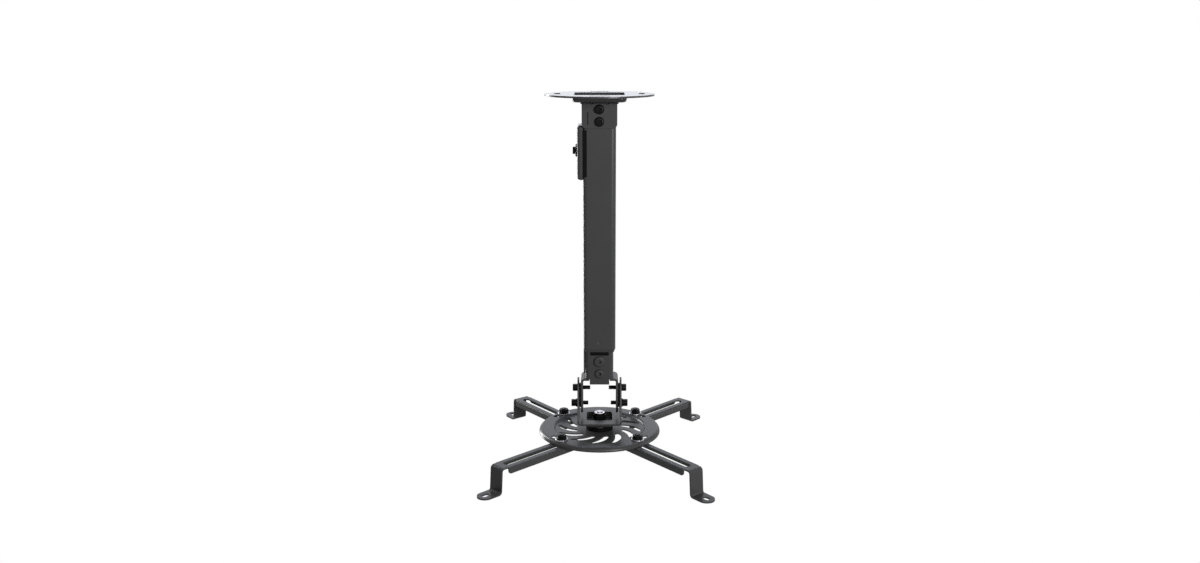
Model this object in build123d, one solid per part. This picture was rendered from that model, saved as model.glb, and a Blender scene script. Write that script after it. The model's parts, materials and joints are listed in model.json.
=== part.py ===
from build123d import *
import os
from math import cos, degrees, radians, sin, tan

# Projector ceiling mount, hung from its ceiling plate: origin at the centre of the plate's top face, +Z up,
# the front of the mount towards -Y. All sizes in millimetres, angles in degrees.

# Fits
shank_gap = 0.09  # radial, a shank in its thread or in a bore it turns in
bolt_play = 0.2  # radial, a shank in a plain hole or slot
tube_gap = 0.3  # each side, between the telescoping tubes
tab_gap = 0.2  # each side, between the yoke's tabs and the inner tube
face_gap = 0.15  # between flat faces that move past each other

# Ceiling plate and its pan
plate_diameter = 122.8
plate_thickness = 2.0
screw_slot_radius = 47.5
screw_slot_width = 7.0
screw_slot_angle = 19.0  # between the centres of a slot's round ends
pan_width = 60.0
pan_depth = 8.2
pan_corner = 7.0
pan_edge = 3.5
pan_lip = 1.2

# Ceiling bracket
bracket_thickness = 2.0
cheek_overhang = 1.2  # a cheek past each side of the pole tube
cheek_corner = 5.0
bracket_bend = 0.8  # inside radius of the cheeks' folds
bend_radius = 2.0  # inside radius of the other folds
pivot_rise = 7.4  # swing pivot above the cheeks' lower ends
swing_headroom = 0.9  # over the pole's round end
swing_bolt_inset = 4.9  # slot bolt below the pole's round end
swing_left = 19.0
swing_right = 6.0
slit_offset = 13.4
slit_length = 13.7
slit_width = 2.2
slit_drop = 17.6  # middle of the slit below the pan
dimple_offset = 9.0
dimple_radius = 1.9
dimple_depth = 1.1

# Pole
tube_width = 37.0
tube_wall = 2.0
tube_corner = 5.0
tube_below_pivot = 265.9
tube_end_taper = 4.0  # pressed-in length at the pole tube's end
tube_end_draft = 20.0
tongue_length = 28.0
tongue_width = 23.0
tongue_corner = 3.0
inner_corner = 4.8
inner_above_lock = 18.0
height_travel = 200.0
guide_mark_rise = 12.5
guide_mark_radius = 3.0
guide_mark_depth = 0.5
guide_width = 21.4
guide_height = 4.0
guide_corner = 1.4

# Height lock
lock_below_pivot = 33.4
saddle_reach = 6.5  # from the tube's side to the saddle's outer face
saddle_inset = 0.3  # each side, inside the tube's width
saddle_height = 61.0
saddle_above_lock = 29.0
saddle_wall = 2.0
saddle_edge = 3.6
pad_height = 51.6
pad_above_lock = 23.6
pad_lip_reach = 4.3
pad_lip_proud = 0.7
lock_nut_width = 11.0
lock_nut_thickness = 5.0
lock_nut_corner = 1.0
lock_flange_diameter = 15.0
lock_flange_thickness = 2.2
lock_head_width = 8.0
lock_head_height = 3.0

# Yoke
web_below_tube = 33.5  # yoke's web below the pole tube's end
yoke_shoulder = 5.7  # web past each side of the inner tube
yoke_thickness = 2.5
yoke_leg = 44.0
yoke_leg_corner = 9.0
yoke_tab_inset = 6.2  # each side, inside the inner tube's width
yoke_tab_height = 29.0
relief_width = 2.0
neck_overhang = 6.2  # inner tube's front and back walls below the web's top
neck_bolt_upper_rise = 22.0
neck_bolt_lower_rise = 7.4
neck_upper_head = 12.6
neck_lower_head = 10.5

# Tilt bracket
tilt_below_web = 15.0
tilt_slot_radius = 19.0
tilt_range = 15.0
spacer_thickness = 2.1  # between ear and yoke leg
spacer_width = 11.0
ear_thickness = 2.0
ear_radius = 12.2
base_below_tilt = 36.0
base_depth = 56.0
pocket_width = 34.5
pocket_depth = 9.0  # outside, from the base's top
pocket_corner = 6.0
pocket_edge = 3.0

# Swivel
swivel_bolt_diameter = 8.0
swivel_washer_diameter = 25.0
swivel_washer_thickness = 1.5
swivel_spacer_diameter = 32.0
swivel_spacer_thickness = 4.5
swivel_nut_width = 13.0
swivel_nut_height = 12.0
swivel_flange_diameter = 17.5
swivel_flange_thickness = 2.0
swivel_collar_diameter = 12.8
swivel_collar_height = 2.6
nylon_wall = 1.9
nylon_height = 1.6
swivel_head_diameter = 16.5
swivel_head_height = 4.5
swivel_stub = 1.4

# Spider disc
disc_diameter = 144.0
disc_thickness = 1.5
disc_step_inset = 18.4  # from the disc's edge, as the other insets
disc_step_width = 2.0
ring_rise = 2.2  # raised ring's top above the middle of the disc
rim_drop = 1.15  # rim's lower edge below the middle of the disc
rim_round = 4.4
ring_round = 2.5
ring_hollow = 1.2
swirl_count = 12
swirl_phase = 15.8
swirl_inset = 22.5
swirl_length = 21.0  # along a radius
swirl_sweep = 26.0
swirl_root_width = 6.4
swirl_middle_width = 9.4
swirl_tip_width = 4.4
swirl_bow = 0.9
arm_circle_inset = 9.7
index_slot_inset = 8.6
index_slot_width = 5.0
index_slot_angle = 11.5  # from each arm bolt
index_slot_length = 3.0  # between the centres of a slot's round ends, in degrees

# Arms
arm_width = 24.2
arm_thickness = 1.8
arm_flange = 7.4
arm_fold = 0.8  # inside radius of the channel's folds
arm_inner_end = 22.0  # arm bolt to the arm's inner end
arm_slot_width = 8.4
arm_slot_inner = 16.5
arm_slot_outer = 86.5
arm_flange_end = 89.0
arm_leg_width = 18.8
arm_leg_reach = 97.5
arm_leg_splay = 4.0
arm_height = 30.2
arm_foot_reach = 123.0
arm_bend = 2.2  # inside radius of the leg's bends
arm_flange_corner = 3.0
foot_slot_length = 9.2
foot_slot_width = 5.8
foot_slot_inset = 9.5
arm_rest = {"front_left": (225.0, -0.2), "front_right": (315.0, -5.7), "back_left": (135.0, -6.8),
            "back_right": (45.0, 0.8)}  # place of the bolt on the disc, swing of the arm from radial

# Fasteners: shank diameter, head diameter, head height, socket width
m6 = 6.0
m5 = 5.0
button_head = 10.8
button_height = 3.3
button_round = 2.0
cap_head = 8.5
cap_height = 5.6
cap_edge = 0.6
socket_share = 0.42  # socket's width of the head's diameter
socket_depth_share = 0.55  # socket's depth of the head's height
m6_nut_width = 10.0
m6_nut_height = 5.2
m6_flange = 12.6
m6_flange_thickness = 1.6
m5_washer_diameter = 10.0
m5_washer_thickness = 1.8
arm_washer_diameter = 14.8
arm_washer_thickness = 1.4
arm_nut_height = 4.8
arm_stub = 0.9
arm_collar_diameter = 11.0
carriage_head = 11.6
carriage_height = 3.0
carriage_round = 2.7
thread_end = 3.0  # a shank's length past its nut
tilt_pivot_length = 15.2
tilt_lock_length = 14.5

# Widths that follow
half_tube = tube_width / 2
inner_width = tube_width - 2 * (tube_wall + tube_gap)
half_inner = inner_width / 2
end_inset = tube_end_taper * tan(radians(tube_end_draft))
cheek_face = half_tube + face_gap + bracket_thickness
cheek_width = tube_width + 2 * cheek_overhang
swing_slot_radius = half_tube - swing_bolt_inset
yoke_width = inner_width + 2 * yoke_shoulder
yoke_depth = inner_width - 2 * (tube_wall + tab_gap)
yoke_tab_width = inner_width - 2 * yoke_tab_inset
ear_inner = yoke_width / 2 + spacer_thickness
ear_outer = ear_inner + ear_thickness
saddle_face = half_tube + saddle_reach
saddle_width = tube_width - 2 * saddle_inset
disc_radius = disc_diameter / 2
disc_step_radius = disc_radius - disc_step_inset
swirl_outer_radius = disc_radius - swirl_inset
swirl_inner_radius = swirl_outer_radius - swirl_length
arm_circle_radius = disc_radius - arm_circle_inset
index_slot_radius = disc_radius - index_slot_inset
reach = 2 * plate_diameter  # longer than any cut

# Levels along the hang, from the ceiling down
pan_floor = -pan_depth
pivot_z = pan_floor - bracket_thickness - swing_headroom - half_tube
cheek_end = pivot_z - pivot_rise
swing_bolt_z = pivot_z + swing_slot_radius
tube_end = pivot_z - tube_below_pivot
lock_z = pivot_z - lock_below_pivot
web_top = tube_end - web_below_tube
tilt_z = web_top - tilt_below_web
tilt_lock_z = tilt_z - tilt_slot_radius
base_top = tilt_z - base_below_tilt
pocket_bottom = base_top - pocket_depth
spacer_top = pocket_bottom - swivel_washer_thickness
disc_top = spacer_top - swivel_spacer_thickness
disc_bottom = disc_top - disc_thickness
ring_top = disc_top + ring_rise
ring_bottom = ring_top - disc_thickness
rim_low = disc_bottom - rim_drop
arm_top = rim_low - face_gap
foot_bottom = arm_top - arm_height


def along_y(sketch):
    return extrude(Plane.XZ * sketch, amount=reach, both=True)


def along_x(sketch):
    return extrude(Plane.YZ * sketch, amount=reach, both=True)


def folded_sheet(points, radii, thickness, side):
    line = FilletPolyline(*points, radius=radii)
    band = offset(line, amount=thickness, side=side, kind=Kind.INTERSECTION)
    return make_face(band.edges())


def polar(radius, angle):
    return (radius * cos(radians(angle)), radius * sin(radians(angle)))


def block(x_range, y_range, z_range):
    lows, highs = zip(x_range, y_range, z_range)
    size = [high - low for low, high in zip(lows, highs)]
    return Pos(*lows) * Box(*size, align=(Align.MIN, Align.MIN, Align.MIN))


# Fasteners are drawn with their seat at z = 0, head upwards and shank downwards


def socket_bolt(diameter, length, head_diameter, head_height, edge):
    head = extrude(Circle(head_diameter / 2), head_height)
    head = fillet(head.edges().group_by(Axis.Z)[-1], edge)
    socket = RegularPolygon(head_diameter * socket_share / 2, 6, major_radius=False)
    head -= Pos(0, 0, head_height * (1 - socket_depth_share)) * extrude(socket, head_height)
    return head + extrude(Circle(diameter / 2), -length)


def carriage_bolt(diameter, length):
    head = extrude(Circle(carriage_head / 2), carriage_height)
    head = fillet(head.edges().group_by(Axis.Z)[-1], carriage_round)
    return head + extrude(Circle(diameter / 2), -length)


def hex_prism(width, height):
    corner = width / 2 / cos(radians(30))
    hexagon = extrude(RegularPolygon(corner, 6), height)
    crown = extrude(Circle(corner), height)
    crown = chamfer(crown.edges().group_by(Axis.Z)[-1], corner - width / 2)
    return hexagon & crown


def hex_nut(width, height, bore):
    return hex_prism(width, height) - extrude(Circle(bore / 2), height)


def flange_nut(width, height, flange_diameter, flange_thickness, bore):
    flange = Cone(flange_diameter / 2, width / 2, flange_thickness,
                  align=(Align.CENTER, Align.CENTER, Align.MIN))
    rim = extrude(Circle(flange_diameter / 2), flange_thickness / 2)
    return hex_prism(width, height) + flange + rim - extrude(Circle(bore / 2), height)


def washer(diameter, thickness, bore):
    return extrude(Circle(diameter / 2) - Circle(bore / 2), thickness)


def facing_front(y, z):
    return Plane(origin=(0, y, z), x_dir=(1, 0, 0), z_dir=(0, -1, 0))


def facing_back(y, z):
    return Plane(origin=(0, y, z), x_dir=(1, 0, 0), z_dir=(0, 1, 0))


def facing_side(x, z):
    return Plane(origin=(x, 0, z), x_dir=(0, 1, 0), z_dir=(1 if x > 0 else -1, 0, 0))


def clear_hole(diameter):
    return Circle(diameter / 2 + bolt_play)


def bearing_hole(diameter):
    return Circle(diameter / 2 + shank_gap)


def ceiling_plate():
    plate = extrude(Circle(plate_diameter / 2), -plate_thickness)
    pan = extrude(RectangleRounded(pan_width, pan_width, pan_corner), -pan_depth)
    pan = fillet(pan.edges().group_by(Axis.Z)[0], pan_edge)
    opening = pan_width - 2 * plate_thickness
    hollow = extrude(RectangleRounded(opening, opening, pan_corner - plate_thickness),
                     -(pan_depth - plate_thickness))
    hollow = fillet(hollow.edges().group_by(Axis.Z)[0], pan_edge - plate_thickness)
    plate = plate + pan - hollow
    mouth = [e for e in plate.edges().group_by(Axis.Z)[-1] if e.bounding_box().size.X < opening + pan_lip
             and max(abs(e.center().X), abs(e.center().Y)) < opening / 2 + pan_lip]
    plate = fillet(mouth, pan_lip)
    for quarter in range(4):
        line = CenterArc((0, 0), screw_slot_radius, 90 * quarter - screw_slot_angle / 2, screw_slot_angle)
        plate -= extrude(SlotArc(line, screw_slot_width), -plate_thickness)
    return plate


def ceiling_bracket():
    fold = bracket_bend + bracket_thickness
    outline = [(-cheek_face, cheek_end), (-cheek_face, pan_floor),
               (cheek_face, pan_floor), (cheek_face, cheek_end)]
    section = folded_sheet(outline, fold, bracket_thickness, Side.RIGHT)
    bracket = extrude(Plane.YZ * section, amount=cheek_width / 2, both=True)
    bracket = fillet(bracket.edges().filter_by(Axis.Y).group_by(Axis.Z)[0], cheek_corner)
    bracket -= along_y(Pos(0, pivot_z) * bearing_hole(m6))
    swing_line = CenterArc((0, pivot_z), swing_slot_radius, 90 - swing_right, swing_left + swing_right)
    bracket -= along_y(SlotArc(swing_line, m6 + 2 * bolt_play))
    slit = Pos(-slit_offset, pan_floor - slit_drop) * Rot(0, 0, 90) * SlotOverall(slit_length, slit_width)
    bracket -= extrude(Plane.XZ * slit, amount=reach)
    corner = fold * (1 - cos(radians(45)))
    for side_x in (-dimple_offset, dimple_offset):
        for side_y in (-1, 1):
            outward = Plane(origin=(side_x, side_y * (cheek_face - corner), pan_floor - corner),
                            z_dir=(0, side_y, 1))
            bracket -= outward * Pos(0, 0, -dimple_depth) * extrude(Circle(dimple_radius), fold)
    return bracket


def outer_tube():
    section = RectangleRounded(tube_width, tube_width, tube_corner)
    bore = RectangleRounded(tube_width - 2 * tube_wall, tube_width - 2 * tube_wall, tube_corner - tube_wall)
    length = pivot_z + half_tube - tube_end
    taper_top = Pos(0, 0, tube_end + tube_end_taper)
    tube = taper_top * extrude(section, length - tube_end_taper)
    tube += taper_top * Rot(180, 0, 0) * extrude(section, tube_end_taper, taper=tube_end_draft)
    tube -= Pos(0, 0, tube_end) * extrude(bore, length)
    # Round upper end, so that the pole turns about the pivot under the pan
    below = Pos(0, (pivot_z + tube_end) / 2) * Rectangle(tube_width, pivot_z - tube_end)
    tube &= along_y(Pos(0, pivot_z) * Circle(half_tube) + below)
    tongue = block((-half_tube, -half_tube + tube_wall), (-tongue_width / 2, tongue_width / 2),
                   (tube_end - tongue_length, tube_end + tube_end_taper))
    tongue = fillet(tongue.edges().filter_by(Axis.X).group_by(Axis.Z)[0], tongue_corner)
    tube += tongue
    for bolt_z in (pivot_z, swing_bolt_z):
        tube -= along_y(Pos(0, bolt_z) * bearing_hole(m6))
    travel = Pos(0, lock_z - height_travel / 2) * Rot(0, 0, 90)
    slot = travel * SlotCenterToCenter(height_travel, m6 + 2 * bolt_play)
    tube -= extrude(Plane.YZ * slot, amount=-tube_width)
    ball = (guide_mark_radius ** 2 + guide_mark_depth ** 2) / (2 * guide_mark_depth)
    tube -= Pos(0, -half_tube - ball + guide_mark_depth, tube_end + guide_mark_rise) * Sphere(ball)
    return tube


def inner_tube():
    section = RectangleRounded(inner_width, inner_width, inner_corner)
    bore_width = inner_width - 2 * tube_wall
    bore = RectangleRounded(bore_width, bore_width, inner_corner - tube_wall)
    low = web_top - neck_overhang
    tube = Pos(0, 0, low) * extrude(section - bore, lock_z + inner_above_lock - low)
    # The side walls stand on the yoke's web, the flat front and back walls run down past it
    flat = half_inner - inner_corner
    for side in (-1, 1):
        edges = sorted((side * flat, side * tube_width))
        tube -= block(edges, (-tube_width, tube_width), (low, web_top))
    for rise in (neck_bolt_upper_rise, neck_bolt_lower_rise):
        tube -= along_y(Pos(0, web_top + rise) * clear_hole(m6))
    tube -= extrude(Plane.YZ * Pos(0, lock_z) * clear_hole(m6), amount=-tube_width)
    return tube


def end_guides():
    strip = block((-guide_width / 2, guide_width / 2), (half_inner + face_gap, half_tube - end_inset),
                  (tube_end - guide_height, tube_end))
    strip = fillet(strip.edges().filter_by(Axis.Y).group_by(Axis.Z)[0], guide_corner)
    return [Rot(0, 0, turn) * strip for turn in (0, 180)]


def lock_saddle():
    low = lock_z + saddle_above_lock - saddle_height
    high = lock_z + saddle_above_lock
    side = saddle_width / 2
    rim = -half_tube - face_gap
    tray = block((-saddle_face, rim), (-side, side), (low, high))
    tray = fillet(tray.edges().filter_by(Axis.X), saddle_edge)
    tray = fillet(tray.edges().group_by(Axis.X)[0], saddle_edge)
    inside = side - saddle_wall
    hollow = block((-saddle_face + saddle_wall, rim), (-inside, inside),
                   (low + saddle_wall, high - saddle_wall))
    hollow = fillet(hollow.edges().filter_by(Axis.X), saddle_edge - saddle_wall)
    tray -= hollow
    return tray - extrude(Plane.YZ * Pos(0, lock_z) * clear_hole(m6), amount=-reach)


def lock_pad():
    low = lock_z + pad_above_lock - pad_height
    high = lock_z + pad_above_lock
    seat = saddle_width / 2 - saddle_wall - face_gap
    back = block((-saddle_face + saddle_wall, -half_tube), (-seat, seat), (low, high))
    lip = half_tube + pad_lip_proud
    wrap = block((-half_tube, -half_tube + pad_lip_reach), (-lip, lip), (low, high))
    hug = tube_width + 2 * face_gap
    tube_space = extrude(RectangleRounded(hug, hug, tube_corner + face_gap), amount=reach * 2, both=True)
    pad = back + wrap - tube_space
    return pad - extrude(Plane.YZ * Pos(0, lock_z) * clear_hole(m6), amount=-reach)


def lock_screw():
    flange = extrude(Circle(lock_flange_diameter / 2), lock_flange_thickness)
    flange = chamfer(flange.edges().group_by(Axis.Z)[-1], lock_flange_thickness / 2)
    head = Pos(0, 0, lock_flange_thickness) * hex_prism(lock_head_width, lock_head_height)
    length = saddle_face - half_inner + tube_wall + lock_nut_thickness + thread_end
    return facing_side(-saddle_face, lock_z) * (flange + head + extrude(Circle(m6 / 2), -length))


def lock_nut():
    wall = half_inner - tube_wall
    plate = RectangleRounded(lock_nut_width, lock_nut_width, lock_nut_corner) - bearing_hole(m6)
    return facing_side(-wall, lock_z) * extrude(plate, -lock_nut_thickness)


def swing_bolt(z):
    length = 2 * cheek_face + m6_nut_height + thread_end
    bolt = socket_bolt(m6, length, button_head, button_height, button_round)
    return facing_front(-cheek_face, z) * bolt


def swing_nut(z):
    return facing_back(cheek_face, z) * hex_nut(m6_nut_width, m6_nut_height, m6 + 2 * shank_gap)


def tilt_yoke():
    fold = bend_radius + yoke_thickness
    half = yoke_width / 2
    leg_end = web_top - yoke_leg
    outline = [(-half, leg_end), (-half, web_top), (half, web_top), (half, leg_end)]
    section = folded_sheet(outline, fold, yoke_thickness, Side.RIGHT)
    yoke = extrude(Plane.XZ * section, amount=yoke_depth / 2, both=True)
    yoke = fillet(yoke.edges().filter_by(Axis.X).group_by(Axis.Z)[0], yoke_leg_corner)
    # Front and back tabs turned up out of the web, with a relief at each side of their folds
    half_tab = yoke_tab_width / 2
    edge = yoke_depth / 2
    web_bottom = web_top - yoke_thickness
    tab_line = [(0, web_bottom), (edge, web_bottom), (edge, web_top + yoke_tab_height)]
    tab = folded_sheet(tab_line, fold, yoke_thickness, Side.LEFT)
    tab = extrude(Plane.YZ * tab, amount=half_tab, both=True)
    cut = half_tab + relief_width
    for turn in (0, 180):
        relief = block((-cut, cut), (edge - fold - relief_width, edge), (web_bottom, web_top))
        yoke -= Rot(0, 0, turn) * relief
    for turn in (0, 180):
        yoke += Rot(0, 0, turn) * tab
    for rise in (neck_bolt_upper_rise, neck_bolt_lower_rise):
        yoke -= along_y(Pos(0, web_top + rise) * clear_hole(m6))
    for bolt_z in (tilt_z, tilt_lock_z):
        yoke -= along_x(Pos(0, bolt_z) * bearing_hole(m5))
    return yoke


def neck_bolt(rise, head_diameter):
    length = inner_width + m6_nut_height + thread_end
    bolt = socket_bolt(m6, length, head_diameter, button_height, button_round)
    return facing_front(-half_inner, web_top + rise) * bolt


def neck_nuts():
    nut = hex_nut(m6_nut_width, m6_nut_height, m6 + 2 * shank_gap)
    rises = (neck_bolt_upper_rise, neck_bolt_lower_rise)
    return [facing_back(half_inner, web_top + rise) * nut for rise in rises]


def tilt_bolt(side, z, length, seat):
    bolt = socket_bolt(m5, length, cap_head, cap_height, cap_edge)
    return facing_side(side * (ear_outer + seat), z) * bolt


def tilt_lock_washers():
    ring = washer(m5_washer_diameter, m5_washer_thickness, m5 + 2 * shank_gap)
    return [facing_side(side * ear_outer, tilt_lock_z) * ring for side in (-1, 1)]


def tilt_spacers():
    plate = Rot(0, 0, 90) * SlotCenterToCenter(tilt_slot_radius, spacer_width)
    for end in (-1, 1):
        plate -= Pos(0, end * tilt_slot_radius / 2) * bearing_hole(m5)
    plate = extrude(plate, spacer_thickness - face_gap)
    middle = (tilt_z + tilt_lock_z) / 2
    return [facing_side(side * yoke_width / 2, middle) * plate for side in (-1, 1)]


def tilt_bracket():
    fold = bend_radius + ear_thickness
    base_bottom = base_top - ear_thickness
    top = tilt_z + ear_radius
    outline = [(-ear_outer, top), (-ear_outer, base_bottom), (ear_outer, base_bottom), (ear_outer, top)]
    section = folded_sheet(outline, fold, ear_thickness, Side.LEFT)
    bracket = extrude(Plane.XZ * section, amount=base_depth / 2, both=True)
    # Ears narrow from the base to a round top about the pivot
    foot = Pos(0, base_bottom + fold / 2) * Rectangle(base_depth, fold)
    shoulder = Pos(0, tilt_lock_z) * Circle(ear_radius + spacer_thickness)
    ear_outline = make_hull((Pos(0, tilt_z) * Circle(ear_radius)).edges() + shoulder.edges()
                            + (Pos(0, base_bottom + fold) * Rectangle(base_depth, fold / 4)).edges())
    bracket &= along_x(ear_outline + foot)
    pocket = extrude(RectangleRounded(pocket_width, pocket_width, pocket_corner), -pocket_depth)
    pocket = fillet(pocket.edges().group_by(Axis.Z)[0], pocket_edge)
    opening = pocket_width - 2 * ear_thickness
    hollow = extrude(RectangleRounded(opening, opening, pocket_corner - ear_thickness),
                     -(pocket_depth - ear_thickness))
    hollow = fillet(hollow.edges().group_by(Axis.Z)[0], pocket_edge - ear_thickness)
    bracket = bracket + Pos(0, 0, base_top) * pocket - Pos(0, 0, base_top) * hollow
    bracket -= Pos(0, 0, pocket_bottom) * extrude(clear_hole(swivel_bolt_diameter), pocket_depth)
    bracket -= along_x(Pos(0, tilt_z) * bearing_hole(m5))
    line = CenterArc((0, tilt_z), tilt_slot_radius, 270 - tilt_range, 2 * tilt_range)
    return bracket - along_x(SlotArc(line, m5 + 2 * bolt_play))


def swivel_washer():
    ring = washer(swivel_washer_diameter, swivel_washer_thickness, swivel_bolt_diameter + 2 * bolt_play)
    return Pos(0, 0, spacer_top) * ring


def swivel_spacer():
    ring = washer(swivel_spacer_diameter, swivel_spacer_thickness - face_gap,
                  swivel_bolt_diameter + 2 * bolt_play)
    return Pos(0, 0, disc_top + face_gap) * ring


def swivel_nut():
    bore = swivel_bolt_diameter + 2 * shank_gap
    body = flange_nut(swivel_nut_width, swivel_nut_height - swivel_collar_height, swivel_flange_diameter,
                      swivel_flange_thickness, bore)
    collar = extrude(Circle(swivel_collar_diameter / 2), swivel_nut_height)
    collar = fillet(collar.edges().group_by(Axis.Z)[-1], swivel_collar_height / 3)
    nut = body + collar - extrude(Circle(bore / 2), swivel_nut_height)
    seat = Pos(0, 0, swivel_nut_height - nylon_height)
    nut -= seat * extrude(Circle(bore / 2 + nylon_wall), nylon_height)
    return Pos(0, 0, pocket_bottom + ear_thickness) * nut


def nylon_ring():
    bore = swivel_bolt_diameter + 2 * shank_gap
    top = pocket_bottom + ear_thickness + swivel_nut_height
    return Pos(0, 0, top - nylon_height) * washer(bore + 2 * nylon_wall, nylon_height, bore)


def swivel_bolt():
    top = pocket_bottom + ear_thickness + swivel_nut_height + swivel_stub
    seat = disc_bottom - face_gap
    shank = extrude(Circle(swivel_bolt_diameter / 2), top - seat)
    shank = chamfer(shank.edges().group_by(Axis.Z)[-1], swivel_stub / 2)
    head = extrude(Circle(swivel_head_diameter / 2), -swivel_head_height)
    head = fillet(head.edges().group_by(Axis.Z)[0], swivel_head_height / 2)
    return Pos(0, 0, seat) * (shank + head)


def swirl_slot():
    # A crescent: its root on the inner circle, its tip swept round to the outer one
    root = swirl_root_width / 2
    tip = swirl_tip_width / 2
    root_turn = degrees(root / swirl_inner_radius)
    tip_turn = degrees(tip / swirl_outer_radius)
    middle = (swirl_inner_radius + swirl_outer_radius) / 2
    bow = degrees(swirl_bow / middle)
    spread = degrees(swirl_middle_width / 2 / middle)
    half_sweep = swirl_sweep / 2
    lead_root = polar(swirl_inner_radius, root_turn)
    lead_middle = polar(middle, bow + spread - half_sweep)
    lead_tip = polar(swirl_outer_radius, tip_turn - swirl_sweep)
    trail_tip = polar(swirl_outer_radius - tip, -tip_turn - swirl_sweep)
    trail_middle = polar(middle, bow - spread - half_sweep)
    trail_root = polar(swirl_inner_radius, -root_turn)
    cap_tip = polar(swirl_outer_radius + tip / 2, -tip_turn / 2 - swirl_sweep)
    cap_root = polar(swirl_inner_radius - root / 2, 0)
    return make_face([ThreePointArc(lead_root, lead_middle, lead_tip),
                      ThreePointArc(lead_tip, cap_tip, trail_tip),
                      ThreePointArc(trail_tip, trail_middle, trail_root),
                      ThreePointArc(trail_root, cap_root, lead_root)])


def spider_disc():
    half_step = disc_step_width / 2
    outline = [(swivel_bolt_diameter / 2 + shank_gap, disc_top), (disc_step_radius - half_step, disc_top),
               (disc_step_radius + half_step, ring_top), (disc_radius, ring_top), (disc_radius, rim_low)]
    section = folded_sheet(outline, [ring_hollow, ring_round, rim_round], disc_thickness, Side.RIGHT)
    disc = revolve(Plane.XZ * section, Axis.Z)
    swirl = Pos(0, 0, disc_bottom) * extrude(swirl_slot(), disc_thickness)
    for number in range(swirl_count):
        disc -= Rot(0, 0, swirl_phase + number * 360 / swirl_count) * swirl
    for name, (angle, _) in arm_rest.items():
        disc -= arm_place(name) * Pos(0, 0, ring_bottom) * extrude(bearing_hole(m6), disc_thickness)
        # One index slot beside each arm bolt, towards the mount's left or right side
        side = 1 if angle % 180 > 90 else -1
        start = angle + side * index_slot_angle - index_slot_length / 2
        slot = SlotArc(CenterArc((0, 0), index_slot_radius, start, index_slot_length), index_slot_width)
        disc -= Pos(0, 0, ring_bottom) * extrude(slot, disc_thickness)
    return disc


def arm_place(name):
    angle, swing = arm_rest[name]
    x, y = polar(arm_circle_radius, angle)
    return Pos(x, y, 0) * Rot(0, 0, angle + swing)


def arm(name):
    # Drawn along +X from its bolt: a channel with a long slot, then a leg bent down and a foot bent out
    half = arm_width / 2
    half_leg = arm_leg_width / 2
    foot_top = foot_bottom + arm_thickness
    splay = (arm_top - foot_top) * tan(radians(arm_leg_splay))
    outline = [(arm_flange_end, arm_top), (arm_leg_reach, arm_top), (arm_leg_reach + splay, foot_top),
               (arm_foot_reach, foot_top)]
    strip = folded_sheet(outline, [arm_bend + arm_thickness, arm_bend], arm_thickness, Side.RIGHT)
    strip = extrude(Plane.XZ * strip, amount=half_leg, both=True)
    round_start = arm_foot_reach - half_leg
    plan = Pos(round_start / 2, 0) * Rectangle(round_start, arm_leg_width)
    plan += Pos(round_start, 0) * Circle(half_leg)
    strip &= Pos(0, 0, foot_bottom) * extrude(plan, arm_height)
    low = arm_top - arm_flange
    line = [(-half, low), (-half, arm_top), (half, arm_top), (half, low)]
    channel = folded_sheet(line, arm_fold + arm_thickness, arm_thickness, Side.RIGHT)
    channel = Pos(-arm_inner_end, 0, 0) * extrude(Plane.YZ * channel, arm_inner_end + arm_flange_end)
    channel = fillet(channel.edges().filter_by(Axis.Y).group_by(Axis.Z)[0], arm_flange_corner)
    body = channel + strip
    slot_length = arm_slot_outer + arm_slot_inner
    slot = Pos((arm_slot_outer - arm_slot_inner) / 2, 0) * SlotOverall(slot_length, arm_slot_width)
    body -= Pos(0, 0, arm_top - arm_flange) * extrude(slot, arm_flange)
    foot_slot = Pos(arm_foot_reach - foot_slot_inset, 0) * SlotOverall(foot_slot_length, foot_slot_width)
    body -= Pos(0, 0, foot_bottom) * extrude(foot_slot, arm_thickness)
    return arm_place(name) * body


def arm_bolt(name):
    seat = arm_top - arm_thickness - face_gap
    top = ring_top + arm_washer_thickness + arm_nut_height + arm_stub
    bolt = Rot(180, 0, 0) * carriage_bolt(m6, top - seat)
    return arm_place(name) * Pos(0, 0, seat) * bolt


def arm_collar(name):
    ring = washer(arm_collar_diameter, ring_bottom - arm_top, m6 + 2 * shank_gap)
    return arm_place(name) * Pos(0, 0, arm_top) * ring


def arm_washer(name):
    ring = washer(arm_washer_diameter, arm_washer_thickness, m6 + 2 * shank_gap)
    return arm_place(name) * Pos(0, 0, ring_top) * ring


def arm_nut(name):
    nut = flange_nut(m6_nut_width, arm_nut_height, m6_flange, m6_flange_thickness, m6 + 2 * shank_gap)
    return arm_place(name) * Pos(0, 0, ring_top + arm_washer_thickness) * nut


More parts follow.
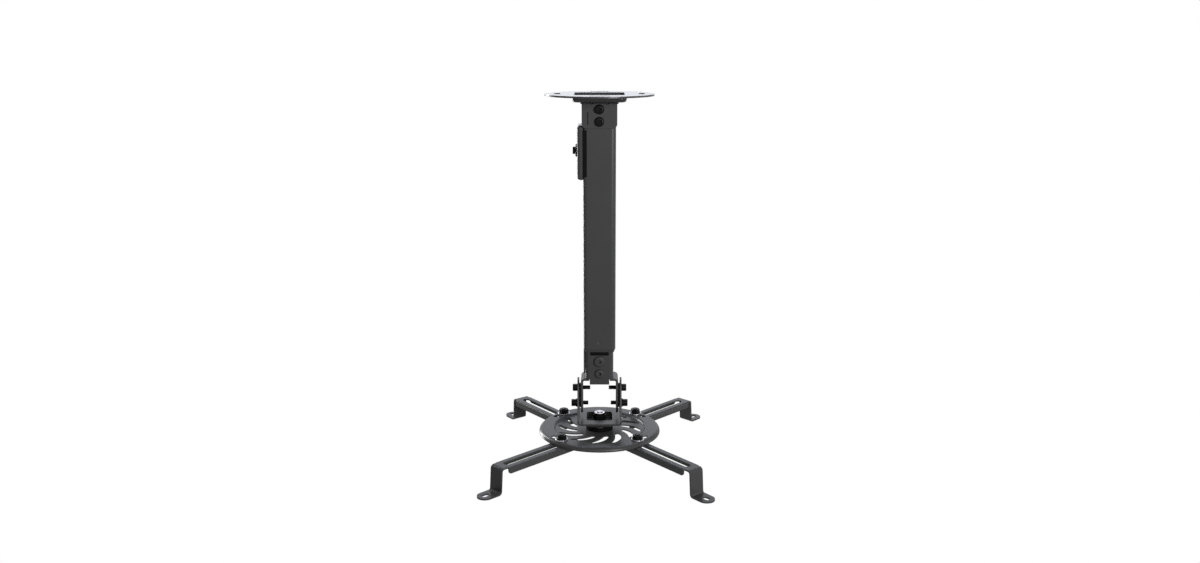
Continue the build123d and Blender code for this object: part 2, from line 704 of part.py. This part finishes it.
def all_nodes():
    nodes = {
        "ceiling_plate": ceiling_plate(),
        "ceiling_bracket": ceiling_bracket(),
        "swing_pivot_bolt": swing_bolt(pivot_z),
        "swing_pivot_nut": swing_nut(pivot_z),
        "swing_slot_bolt": swing_bolt(swing_bolt_z),
        "swing_slot_nut": swing_nut(swing_bolt_z),
        "outer_tube": outer_tube(),
        "inner_tube": inner_tube(),
        "end_guides": end_guides(),
        "lock_saddle": lock_saddle(),
        "lock_pad": lock_pad(),
        "lock_screw": lock_screw(),
        "lock_nut": lock_nut(),
        "tilt_yoke": tilt_yoke(),
        "neck_bolt_upper": neck_bolt(neck_bolt_upper_rise, neck_upper_head),
        "neck_bolt_lower": neck_bolt(neck_bolt_lower_rise, neck_lower_head),
        "neck_nuts": neck_nuts(),
        "tilt_lock_washers": tilt_lock_washers(),
        "tilt_spacers": tilt_spacers(),
        "tilt_bracket": tilt_bracket(),
        "swivel_washer": swivel_washer(),
        "swivel_spacer": swivel_spacer(),
        "swivel_nut": swivel_nut(),
        "nylon_ring": nylon_ring(),
        "swivel_bolt": swivel_bolt(),
        "spider_disc": spider_disc(),
    }
    for side, word in ((-1, "left"), (1, "right")):
        nodes["tilt_pivot_bolt_" + word] = tilt_bolt(side, tilt_z, tilt_pivot_length, face_gap)
        nodes["tilt_lock_bolt_" + word] = tilt_bolt(side, tilt_lock_z, tilt_lock_length, m5_washer_thickness)
    for name in arm_rest:
        nodes["arm_" + name] = arm(name)
        nodes["arm_bolt_" + name] = arm_bolt(name)
        nodes["arm_collar_" + name] = arm_collar(name)
        nodes["arm_washer_" + name] = arm_washer(name)
        nodes["arm_nut_" + name] = arm_nut(name)
    return nodes


os.makedirs("parts", exist_ok=True)
for node, solid in all_nodes().items():
    shape = Compound(children=solid) if isinstance(solid, list) else solid
    export_step(shape, "parts/" + node + ".step")
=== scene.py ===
import bpy
import json
import math
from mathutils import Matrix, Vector

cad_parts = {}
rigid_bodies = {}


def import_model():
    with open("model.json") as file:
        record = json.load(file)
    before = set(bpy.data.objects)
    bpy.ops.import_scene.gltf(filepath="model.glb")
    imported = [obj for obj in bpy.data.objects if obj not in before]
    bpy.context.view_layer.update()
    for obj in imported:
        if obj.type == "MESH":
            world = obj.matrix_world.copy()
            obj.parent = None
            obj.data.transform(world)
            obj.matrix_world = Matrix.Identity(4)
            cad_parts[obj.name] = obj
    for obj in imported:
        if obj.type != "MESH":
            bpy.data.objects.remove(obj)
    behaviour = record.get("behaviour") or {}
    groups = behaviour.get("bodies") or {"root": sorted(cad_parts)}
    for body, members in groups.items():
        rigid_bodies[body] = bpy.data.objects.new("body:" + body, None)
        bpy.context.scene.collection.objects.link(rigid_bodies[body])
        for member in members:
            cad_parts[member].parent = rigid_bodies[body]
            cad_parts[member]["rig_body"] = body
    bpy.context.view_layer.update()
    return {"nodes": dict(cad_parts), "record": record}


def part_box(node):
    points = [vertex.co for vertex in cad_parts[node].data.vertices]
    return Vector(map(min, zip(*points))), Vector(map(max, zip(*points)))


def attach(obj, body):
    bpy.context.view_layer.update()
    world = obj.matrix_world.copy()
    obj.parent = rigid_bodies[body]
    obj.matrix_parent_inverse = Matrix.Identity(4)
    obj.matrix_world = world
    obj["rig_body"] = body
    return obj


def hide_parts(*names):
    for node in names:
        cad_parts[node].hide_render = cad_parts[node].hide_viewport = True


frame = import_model()
print("frame in:", len(frame["nodes"]), "nodes")

noiseMiddle = 0.5
mixColour = {"factor": 0, "first": 6, "second": 7, "result": 2}  # by number, as the names repeat


class Wire:
    # a socket that does its own maths
    def __init__(self, tree, socket=None):
        self.tree = tree
        self.socket = socket

    def node(self, kind, settings=None, inputs=None, out=0):
        made = self.tree.nodes.new(kind)
        for name, value in (settings or {}).items():
            setattr(made, name, value)
        for name, value in (inputs or {}).items():
            if isinstance(value, Wire):
                self.tree.links.new(value.socket, made.inputs[name])
            else:
                made.inputs[name].default_value = value
        return Wire(self.tree, made.outputs[out] if len(made.outputs) else None)

    def sum(self, operation, first, second):
        return self.node("ShaderNodeMath", {"operation": operation}, {0: first, 1: second})

    def __add__(self, other):
        return self.sum("ADD", self, other)

    def __radd__(self, other):
        return self.sum("ADD", other, self)

    def __sub__(self, other):
        return self.sum("SUBTRACT", self, other)

    def __rsub__(self, other):
        return self.sum("SUBTRACT", other, self)

    def __mul__(self, other):
        return self.sum("MULTIPLY", self, other)

    def __rmul__(self, other):
        return self.sum("MULTIPLY", other, self)

    def __truediv__(self, other):
        return self.sum("DIVIDE", self, other)

    def __rtruediv__(self, other):
        return self.sum("DIVIDE", other, self)

    def clamp(self):
        return self.node("ShaderNodeClamp", inputs={0: self})

    def mix(self, first, second):
        pair = {mixColour["factor"]: self, mixColour["first"]: first, mixColour["second"]: second}
        return self.node("ShaderNodeMix", {"data_type": "RGBA"}, pair, out=mixColour["result"])

    def swing(self, spread):
        # a noise, made to go as far below nothing as above it
        return (self - noiseMiddle) * spread


def newMaterial(name):
    material = bpy.data.materials.new(name)
    material.use_nodes = True
    material.node_tree.nodes.clear()
    return material, Wire(material.node_tree)


def shadeOut(wire, shader):
    wire.node("ShaderNodeOutputMaterial", inputs={"Surface": shader})


def objectPlace(wire):
    return wire.node("ShaderNodeTexCoord", out="Object")


def noise(wire, place, grade):
    scale, detail, rough = grade
    return wire.node("ShaderNodeTexNoise", inputs={"Vector": place, "Scale": scale,
                                                   "Detail": detail, "Roughness": rough})


edgeFind = {"samples": 6, "gain": 4.0}


def edgeMask(wire, soft):
    # 0 on flats, rising where the softened normal leaves the true one
    rounded = wire.node("ShaderNodeBevel", {"samples": edgeFind["samples"]}, {"Radius": soft})
    flat = wire.node("ShaderNodeNewGeometry", out="True Normal")
    match = wire.node("ShaderNodeVectorMath", {"operation": "DOT_PRODUCT"}, {0: rounded, 1: flat},
                      out="Value")
    return rounded, ((1.0 - match) * edgeFind["gain"]).clamp()


def roughen(wire, tone, relief, rounded):
    return wire.node("ShaderNodeBump", inputs={
        "Strength": tone["bump"],
        "Distance": tone["bumpDeep"],
        "Height": relief,
        "Normal": rounded,
    })


# satin charcoal powder coat on all the pressed sheet, the tubes and the neck bolts
coat = {
    "dark": (0.027, 0.027, 0.0278, 1),
    "light": (0.035, 0.035, 0.0358, 1),
    "edge": (0.062, 0.062, 0.064, 1),
    "rough": 0.34,
    "roughSpread": 0.08,
    "gloss": 0.04,
    "lacquer": 0.14,
    "lacquerRough": 0.26,
    "ceilingPolish": 0.50,
    "ceilingSkin": 0.001,
    "grain": (1500, 1.5, 0.5),  # each noise has its scale, detail and roughness
    "orangePeel": (420, 2.0, 0.5),
    "mottle": (38, 3.0, 0.6),
    "mottleTone": 0.7,
    "grainTone": 0.3,
    "edgeLeast": 0.35,
    "edgeMottle": 0.4,
    "grainRelief": 0.6,
    "peelRelief": 0.7,
    "bump": 0.03,
    "bumpDeep": 0.0001,
    "soft": 0.0006,
}


def powderCoat():
    material, wire = newMaterial("powderCoat")
    place = objectPlace(wire)
    grain = noise(wire, place, coat["grain"])
    peel = noise(wire, place, coat["orangePeel"])
    mottle = noise(wire, place, coat["mottle"])
    rounded, edge = edgeMask(wire, coat["soft"])
    tone = mottle * coat["mottleTone"] + grain * coat["grainTone"]
    worn = edge * (coat["edgeLeast"] + mottle * coat["edgeMottle"])
    base = worn.mix(tone.mix(coat["dark"], coat["light"]), coat["edge"])
    rough = coat["rough"] + peel.swing(coat["roughSpread"]) + grain.swing(coat["roughSpread"])
    height = wire.node("ShaderNodeSeparateXYZ", inputs={0: place}, out="Z")
    ceilingFace = (1.0 + height / coat["ceilingSkin"]).clamp()  # the plate's smooth top alone
    lacquer = coat["lacquer"] + ceilingFace * (coat["ceilingPolish"] - coat["lacquer"])
    relief = grain * coat["grainRelief"] + peel * coat["peelRelief"]
    shader = wire.node("ShaderNodeBsdfPrincipled", inputs={
        "Base Color": base,
        "Roughness": rough,
        "Normal": roughen(wire, coat, relief, rounded),
        "Specular IOR Level": coat["gloss"],
        "Coat Weight": lacquer,
        "Coat Roughness": coat["lacquerRough"],
    })
    shadeOut(wire, shader)
    return material


# plated steel: black screws and nuts, bright washers, collars and swivel bolt
platings = {
    "blackZinc": {
        "dark": (0.002, 0.002, 0.002, 1),
        "light": (0.006, 0.006, 0.006, 1),
        "metal": 0.0,
        "gloss": 0.06,
        "rough": 0.24,
        "roughSpread": 0.14,
        "smear": (260, 3.0, 0.6),
        "grit": (1900, 2.0, 0.5),
        "smearTone": 0.6,
        "edgeTone": 0.5,
        "bump": 0.10,
        "bumpDeep": 0.00006,
        "soft": 0.0003,
    },
    "brightZinc": {
        "dark": (0.26, 0.26, 0.27, 1),
        "light": (0.44, 0.44, 0.45, 1),
        "metal": 1.0,
        "gloss": 0.5,
        "rough": 0.34,
        "roughSpread": 0.14,
        "smear": (190, 3.0, 0.6),
        "grit": (900, 2.0, 0.5),
        "smearTone": 0.8,
        "edgeTone": 0.3,
        "bump": 0.08,
        "bumpDeep": 0.00005,
        "soft": 0.0003,
    },
}


def plating(name):
    plate = platings[name]
    material, wire = newMaterial(name)
    place = objectPlace(wire)
    smear = noise(wire, place, plate["smear"])
    grit = noise(wire, place, plate["grit"])
    rounded, edge = edgeMask(wire, plate["soft"])
    tone = (smear * plate["smearTone"] + edge * plate["edgeTone"]).clamp()
    shader = wire.node("ShaderNodeBsdfPrincipled", inputs={
        "Base Color": tone.mix(plate["dark"], plate["light"]),
        "Metallic": plate["metal"],
        "Roughness": plate["rough"] + smear.swing(plate["roughSpread"]),
        "Normal": roughen(wire, plate, grit, rounded),
        "Specular IOR Level": plate["gloss"],
    })
    shadeOut(wire, shader)
    return material


# moulded nylon: the black pad, guides and spacer, and the white ring in the swivel nut. The black
# guide below the outer tube's lower end is painted shadow: a dark part standing where that end
# casts its shade on the inner tube. The spacer under the pan is made this black nylon, darker than
# plated steel, partly as painted shade for the deep shadow there.
nylonTones = {
    "blackNylonAndPaintedShade": {"dark": (0.0015, 0.0015, 0.0015, 1), "light": (0.0032, 0.0032, 0.0032, 1),
                   "rough": 0.6, "gloss": 0.03, "glow": 0.0},
    "whiteNylon": {"dark": (0.70, 0.70, 0.67, 1), "light": (0.80, 0.80, 0.78, 1),
                   "rough": 0.45, "gloss": 0.5, "glow": 0.08},
}
nylonGrain = {
    "cloud": (240, 3.0, 0.5),
    "spark": (2200, 1.0, 0.5),
    "roughSpread": 0.2,
    "edgeRelief": 0.1,
    "bump": 0.18,
    "bumpDeep": 0.00008,
    "soft": 0.0004,
    "glowDeep": (0.001, 0.001, 0.001),
}


def nylon(name):
    tone = nylonTones[name]
    material, wire = newMaterial(name)
    place = objectPlace(wire)
    cloud = noise(wire, place, nylonGrain["cloud"])
    spark = noise(wire, place, nylonGrain["spark"])
    rounded, edge = edgeMask(wire, nylonGrain["soft"])
    relief = spark + edge * nylonGrain["edgeRelief"]
    shader = wire.node("ShaderNodeBsdfPrincipled", inputs={
        "Base Color": cloud.mix(tone["dark"], tone["light"]),
        "Roughness": tone["rough"] + spark.swing(nylonGrain["roughSpread"]),
        "Normal": roughen(wire, nylonGrain, relief, rounded),
        "Specular IOR Level": tone["gloss"],
        "Subsurface Weight": tone["glow"],
        "Subsurface Radius": nylonGrain["glowDeep"],
    })
    shadeOut(wire, shader)
    return material


finishes = {
    "powder_coat": powderCoat(),
    "black_zinc": plating("blackZinc"),
    "zinc": plating("brightZinc"),
    # black nylon also carries painted shadow below the outer tube's end and painted shade on the
    # swivel spacer
    "black_nylon": nylon("blackNylonAndPaintedShade"),
    "white_nylon": nylon("whiteNylon"),
}
slotOf = {row["node"]: row["material_slot"] for row in frame["record"]["subparts"]}
for nodeName, solid in frame["nodes"].items():
    solid.data.materials.clear()
    solid.data.materials.append(finishes[slotOf[nodeName]])
print("finishes on:", len(finishes))


# screws, turned from the tip up with a cut thread; seats and lengths come from the frame's bolts
screwKinds = {
    "swing": {"radius": 0.0030, "threaded": 0.012, "pitch": 0.001, "head": 0.0054,
              "headTall": 0.0033, "round": 0.0020, "socket": 0.0045, "deep": 0.0018},
    "neckUpper": {"radius": 0.0030, "threaded": 0.010, "pitch": 0.001, "head": 0.0063,
                  "headTall": 0.0033, "round": 0.0016, "socket": 0.0042, "deep": 0.0029},
    "neckLower": {"radius": 0.0030, "threaded": 0.010, "pitch": 0.001, "head": 0.00525,
                  "headTall": 0.0033, "round": 0.0016, "socket": 0.0038, "deep": 0.0029},
    "tiltPivot": {"radius": 0.0025, "threaded": 0.0144, "pitch": 0.0008, "head": 0.00425,
                  "headTall": 0.0056, "round": 0.0006, "socket": 0.0040, "deep": 0.0028},
    "tiltLock": {"radius": 0.0025, "threaded": 0.0136, "pitch": 0.0008, "head": 0.00425,
                 "headTall": 0.0056, "round": 0.0006, "socket": 0.0040, "deep": 0.0028},
    "swivel": {"radius": 0.0040, "threaded": 0.014, "pitch": 0.00125, "head": 0.00825,
               "headTall": 0.0045, "round": 0.0022, "socket": 0.0, "deep": 0.0},
    "arm": {"radius": 0.0030, "threaded": 0.008, "pitch": 0.001, "head": 0.0058,
            "headTall": 0.0030, "round": 0.0026, "socket": 0.0, "deep": 0.0},
}
turning = {
    "sides": 28,
    "root": 0.87,  # share of the radius
    "flank": 0.4,  # shares of the pitch
    "crest": 0.15,
    "valley": 0.05,
    "domeTilts": (22.5, 45, 67.5, 85),
    "socketSides": 6,
    "smoothBelow": 32,
}
facings = {
    "front": {"looks": (0, -1, 0), "turn": (90, 0, 0)},
    "left": {"looks": (-1, 0, 0), "turn": (0, -90, 0)},
    "right": {"looks": (1, 0, 0), "turn": (0, 90, 0)},
    "down": {"looks": (0, 0, -1), "turn": (180, 0, 0)},
}
screwPlaces = {
    "swing_pivot_bolt": ("swing", "front"),
    "swing_slot_bolt": ("swing", "front"),
    "neck_bolt_upper": ("neckUpper", "front"),
    "neck_bolt_lower": ("neckLower", "front"),
    "tilt_pivot_bolt_left": ("tiltPivot", "left"),
    "tilt_pivot_bolt_right": ("tiltPivot", "right"),
    "tilt_lock_bolt_left": ("tiltLock", "left"),
    "tilt_lock_bolt_right": ("tiltLock", "right"),
    "swivel_bolt": ("swivel", "down"),
    "arm_bolt_back_right": ("arm", "down"),
    "arm_bolt_back_left": ("arm", "down"),
    "arm_bolt_front_left": ("arm", "down"),
    "arm_bolt_front_right": ("arm", "down"),
}


def measureBolt(nodeName, looks, headTall):
    # the seat under the head of the bolt that the screw stands in for, and its length below
    low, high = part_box(nodeName)
    tall = abs((high - low).dot(looks))
    return (low + high) / 2 + looks * (tall / 2 - headTall), tall - headTall


def drawUp(rise, spread):
    bpy.ops.mesh.extrude_region_move(TRANSFORM_OT_translate={"value": (0, 0, rise)})
    bpy.ops.transform.resize(value=(spread, spread, 1))


def cutThread(size, length):
    swell = 1 / turning["root"]
    turns = int(size["threaded"] / size["pitch"])
    for ridge in range(turns):
        drawUp(size["pitch"] * turning["flank"], swell)
        drawUp(size["pitch"] * turning["crest"], 1)
        drawUp(size["pitch"] * turning["flank"], 1 / swell)
        drawUp(size["pitch"] * turning["valley"], 1)
    drawUp(size["pitch"] * turning["flank"], swell)
    drawUp(length - (turns + turning["flank"]) * size["pitch"], 1)


def formHead(size):
    drawUp(0, size["head"] / size["radius"])
    drawUp(size["headTall"] - size["round"], 1)
    last = 0
    for degrees in turning["domeTilts"]:
        tilt = math.radians(degrees)
        before = size["head"] - size["round"] * (1 - math.cos(last))
        after = size["head"] - size["round"] * (1 - math.cos(tilt))
        drawUp(size["round"] * (math.sin(tilt) - math.sin(last)), after / before)
        last = tilt


def sinkSocket(screw, size):
    corner = size["socket"] / 2 / math.cos(math.pi / turning["socketSides"])
    bpy.ops.object.select_all(action="DESELECT")
    bpy.ops.mesh.primitive_cylinder_add(vertices=turning["socketSides"], radius=corner,
                                        depth=size["deep"] * 2, location=(0, 0, size["headTall"]))
    punch = bpy.context.object
    bpy.ops.object.select_all(action="DESELECT")
    screw.select_set(True)
    bpy.context.view_layer.objects.active = screw
    cut = screw.modifiers.new("socket", "BOOLEAN")
    cut.operation = "DIFFERENCE"
    cut.solver = "EXACT"
    cut.object = punch
    bpy.ops.object.modifier_apply(modifier="socket")
    bpy.data.objects.remove(punch)


def turnScrew(name, size, length):
    root = size["radius"] * turning["root"]
    bpy.ops.object.select_all(action="DESELECT")
    bpy.ops.mesh.primitive_circle_add(vertices=turning["sides"], radius=root, fill_type="NGON",
                                      location=(0, 0, -length))
    screw = bpy.context.object
    screw.name = name
    bpy.ops.object.transform_apply(location=True)
    bpy.ops.object.mode_set(mode="EDIT")
    bpy.ops.mesh.select_all(action="SELECT")
    cutThread(size, length)
    formHead(size)
    bpy.ops.mesh.select_all(action="SELECT")
    bpy.ops.mesh.normals_make_consistent(inside=False)
    bpy.ops.object.mode_set(mode="OBJECT")
    if size["socket"] > 0:
        sinkSocket(screw, size)
    return screw


def setScrew(nodeName, pattern, turn, seat):
    bpy.ops.object.select_all(action="DESELECT")
    screw = bpy.data.objects.new(nodeName + "_turned", pattern.data.copy())
    bpy.context.scene.collection.objects.link(screw)
    screw.select_set(True)
    bpy.context.view_layer.objects.active = screw
    screw.rotation_euler = [math.radians(angle) for angle in turn]
    screw.location = seat
    bpy.ops.object.transform_apply(location=True, rotation=True, scale=True)
    bpy.ops.object.shade_smooth_by_angle(angle=math.radians(turning["smoothBelow"]))
    screw.data.materials.clear()
    screw.data.materials.append(finishes[slotOf[nodeName]])
    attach(screw, frame["nodes"][nodeName]["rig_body"])
    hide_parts(nodeName)


patterns = {}
for nodeName, (kind, facing) in screwPlaces.items():
    size = screwKinds[kind]
    seat, length = measureBolt(nodeName, Vector(facings[facing]["looks"]), size["headTall"])
    if kind not in patterns:  # each kind is turned once and copied to its places
        patterns[kind] = turnScrew(kind + "Pattern", size, length)
    setScrew(nodeName, patterns[kind], facings[facing]["turn"], seat)
for pattern in patterns.values():
    bpy.data.objects.remove(pattern)
print("screws set:", len(screwPlaces))


# weld beads along the sides of the bracket's base, where it meets the pan
weld = {
    "proud": 0.0002,
    "below": 0.0008,
    "starts": (-0.0150, 0.0055),
    "drops": 6,
    "step": 0.0019,
    "girth": 0.0016,
    "segments": 20,
    "rings": 12,
    "sway": 0.06,
    "swayDrop": 2.4,
    "swaySide": 1.7,
    "swayStart": 300,
    "voxel": 0.00035,
}
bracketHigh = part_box("ceiling_bracket")[1]


def runBead(name, side, start):
    edge = side * (bracketHigh.x + weld["proud"])
    level = bracketHigh.z - weld["below"]
    bpy.ops.object.select_all(action="DESELECT")
    bpy.ops.mesh.primitive_uv_sphere_add(segments=weld["segments"], ring_count=weld["rings"],
                                         radius=weld["girth"], location=(edge, start, level))
    bead = bpy.context.object
    bead.name = name
    bpy.ops.object.transform_apply(location=True)
    bpy.ops.object.mode_set(mode="EDIT")
    bpy.ops.mesh.select_all(action="SELECT")
    for drop in range(1, weld["drops"]):  # each puddle overlaps the one before
        bpy.ops.mesh.duplicate_move(TRANSFORM_OT_translate={"value": (0, weld["step"], 0)})
        phase = weld["swayDrop"] * drop + weld["swaySide"] * side + weld["swayStart"] * start
        sway = 1 + weld["sway"] * math.sin(phase)
        middle = (edge, start + drop * weld["step"], level)
        bpy.ops.transform.resize(value=(sway, 1, sway), center_override=middle)
    bpy.ops.object.mode_set(mode="OBJECT")
    melt = bead.modifiers.new("melt", "REMESH")
    melt.mode = "VOXEL"
    melt.voxel_size = weld["voxel"]
    bpy.ops.object.modifier_apply(modifier="melt")
    bpy.ops.object.shade_smooth()
    bead.data.materials.clear()
    bead.data.materials.append(finishes["powder_coat"])
    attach(bead, "ceiling")


for sideName, side in (("left", -1), ("right", 1)):
    for number, start in enumerate(weld["starts"]):
        runBead("weldBead_" + sideName + str(number), side, start)
print("weld beads run")


# studio: white all round to the eye, lit by the lamps, with little fill from the world
white = (1, 1, 1)
studio = {
    "floorDrop": -2.0,
    "floorSize": 16.0,
    "floorShade": (0.86, 0.86, 0.86, 1),
    "near": 0.1,
    "far": 0.9,
    "fill": 0.05,
    "lamps": {
        "keyRight": {"at": (0.6, -1.1, 0.08), "wide": 0.4, "tall": 0.6, "watts": 20, "tint": white},
        "frontFill": {"at": (0.1, -1.45, 0.32), "wide": 0.9, "tall": 0.3, "watts": 6,
                      "tint": white},
        "topBack": {"at": (0.1, 0.9, 1.1), "wide": 1.0, "tall": 0.6, "watts": 19,
                    "tint": (0.75, 0.78, 1)},
        "backPanel": {"at": (0, 2.1, 0.3), "wide": 2.2, "tall": 0.8, "watts": 7,
                      "tint": (0.86, 0.9, 1)},
        "leftBox": {"at": (-1.1, 1.1, -0.1), "wide": 0.3, "tall": 1.6, "watts": 50, "tint": white},
        "rightStrip": {"at": (1.45, 0.25, -0.05), "wide": 0.25, "tall": 1.6, "watts": 6,
                       "tint": white},
    },
    "aim": (0, 0, -0.15),
}


def whiteRays(wire):
    # 1 for rays that should see the white surround
    seen = wire.node("ShaderNodeLightPath", out="Is Camera Ray")
    gloss = wire.node("ShaderNodeLightPath", out="Is Glossy Ray")
    through = wire.node("ShaderNodeLightPath", out="Is Transmission Ray")
    return (seen + gloss + through).clamp()


def layFloor():
    bpy.ops.object.select_all(action="DESELECT")
    bpy.ops.mesh.primitive_plane_add(size=studio["floorSize"], location=(0, 0, studio["floorDrop"]))
    floor = bpy.context.object
    floor.name = "studioFloor"
    material, wire = newMaterial("paleFloor")
    away = wire.node("ShaderNodeVectorMath", {"operation": "LENGTH"}, {0: objectPlace(wire)},
                     out="Value")
    fade = ((away - studio["near"]) / (studio["far"] - studio["near"])).clamp()
    matt = wire.node("ShaderNodeBsdfDiffuse", inputs={"Color": studio["floorShade"]})
    glow = wire.node("ShaderNodeEmission", inputs={"Color": (*white, 1), "Strength": 1.0})
    both = wire.node("ShaderNodeMixShader", inputs={0: whiteRays(wire) * fade, 1: matt, 2: glow})
    shadeOut(wire, both)
    floor.data.materials.append(material)


def lightWorld():
    world = bpy.data.worlds.new("studioWorld")
    bpy.context.scene.world = world
    world.use_nodes = True
    world.node_tree.nodes.clear()
    wire = Wire(world.node_tree)
    level = whiteRays(wire) * (1.0 - studio["fill"]) + studio["fill"]
    sky = wire.node("ShaderNodeBackground", inputs={"Color": (*white, 1), "Strength": level})
    wire.node("ShaderNodeOutputWorld", inputs={"Surface": sky})


def hangLamps():
    for name, lamp in studio["lamps"].items():
        data = bpy.data.lights.new(name, "AREA")
        data.shape = "RECTANGLE"
        data.size = lamp["wide"]
        data.size_y = lamp["tall"]
        data.energy = lamp["watts"]
        data.color = lamp["tint"]
        holder = bpy.data.objects.new(name, data)
        holder.location = lamp["at"]
        aim = Vector(studio["aim"]) - Vector(lamp["at"])
        holder.rotation_euler = aim.to_track_quat("-Z", "Y").to_euler()
        bpy.context.scene.collection.objects.link(holder)


layFloor()
lightWorld()
hangLamps()
print("studio lit")


# camera, straight in front, a little above the ceiling plate and pitched down
view = {"at": (0.0006, -1.2184, 0.0662), "pitch": 13.0, "lens": 32.33, "film": 36.0, "clip": 60}


def placeCamera():
    data = bpy.data.cameras.new("photoCamera")
    data.sensor_width = view["film"]
    data.lens = view["lens"]
    data.clip_end = view["clip"]
    camera = bpy.data.objects.new("photoCamera", data)
    camera.location = view["at"]
    camera.rotation_euler = (math.radians(90 - view["pitch"]), 0, 0)
    bpy.context.scene.collection.objects.link(camera)
    bpy.context.scene.camera = camera


placeCamera()
bpy.context.scene.view_settings.view_transform = "Standard"
